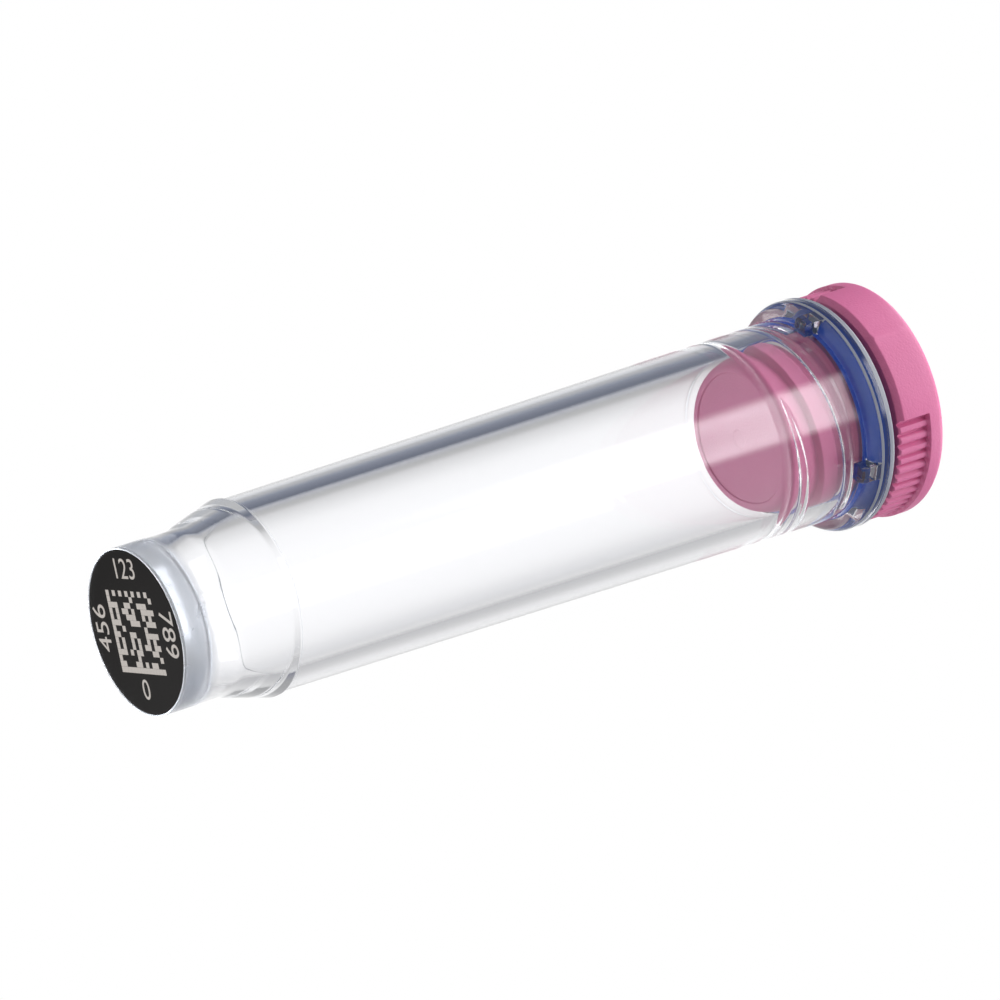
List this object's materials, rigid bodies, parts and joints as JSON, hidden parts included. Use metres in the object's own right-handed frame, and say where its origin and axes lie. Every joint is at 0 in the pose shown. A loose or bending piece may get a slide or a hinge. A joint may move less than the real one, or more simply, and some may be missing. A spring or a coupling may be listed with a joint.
{
  "type": "cryovial",
  "caption": "Clear round storage tube with a coded foot, stepped shoulder and ribbed collar, closed by a threaded pink cap with a blue seal ring.",
  "frame": {"origin": "middle of the standing face of the foot, where the tube's axis meets the surface it stands on", "axes": "+Z along the tube's axis from the foot to the cap; -Y lies 38.2 degrees before the first rib under the collar and 15.8 degrees before the first ribbed grip, counted towards +X"},
  "size_m": [0.0125, 0.0124, 0.0461],
  "materials": {
    "clear_tube": "clear moulded polypropylene, hazy in the thick foot",
    "black_disc": "black laser-markable plastic with off-white marks",
    "blue_seal": "blue thermoplastic rubber",
    "pink_cap": "finely grained pink polypropylene"
  },
  "bodies": {
    "vial": {"tube": "clear_tube", "code_disc": "black_disc"},
    "seal": {"seal_ring": "blue_seal"},
    "cap": {"cap": "pink_cap"}
  },
  "joints": [
    {"name": "cap_rise", "type": "slide", "parent": "vial", "child": "seal", "axis": [0, 0, 1], "range_m": [0, 0.0063]},
    {"name": "cap_turn", "type": "hinge", "parent": "seal", "child": "cap", "pos_m": [0, 0, 0.0432], "axis": [0, 0, 1], "range_deg": [0, 800]}
  ],
  "couplings": [
    {"joint": "cap_turn", "follows": "cap_rise", "rad_per_m": 2204.6}
  ]
}
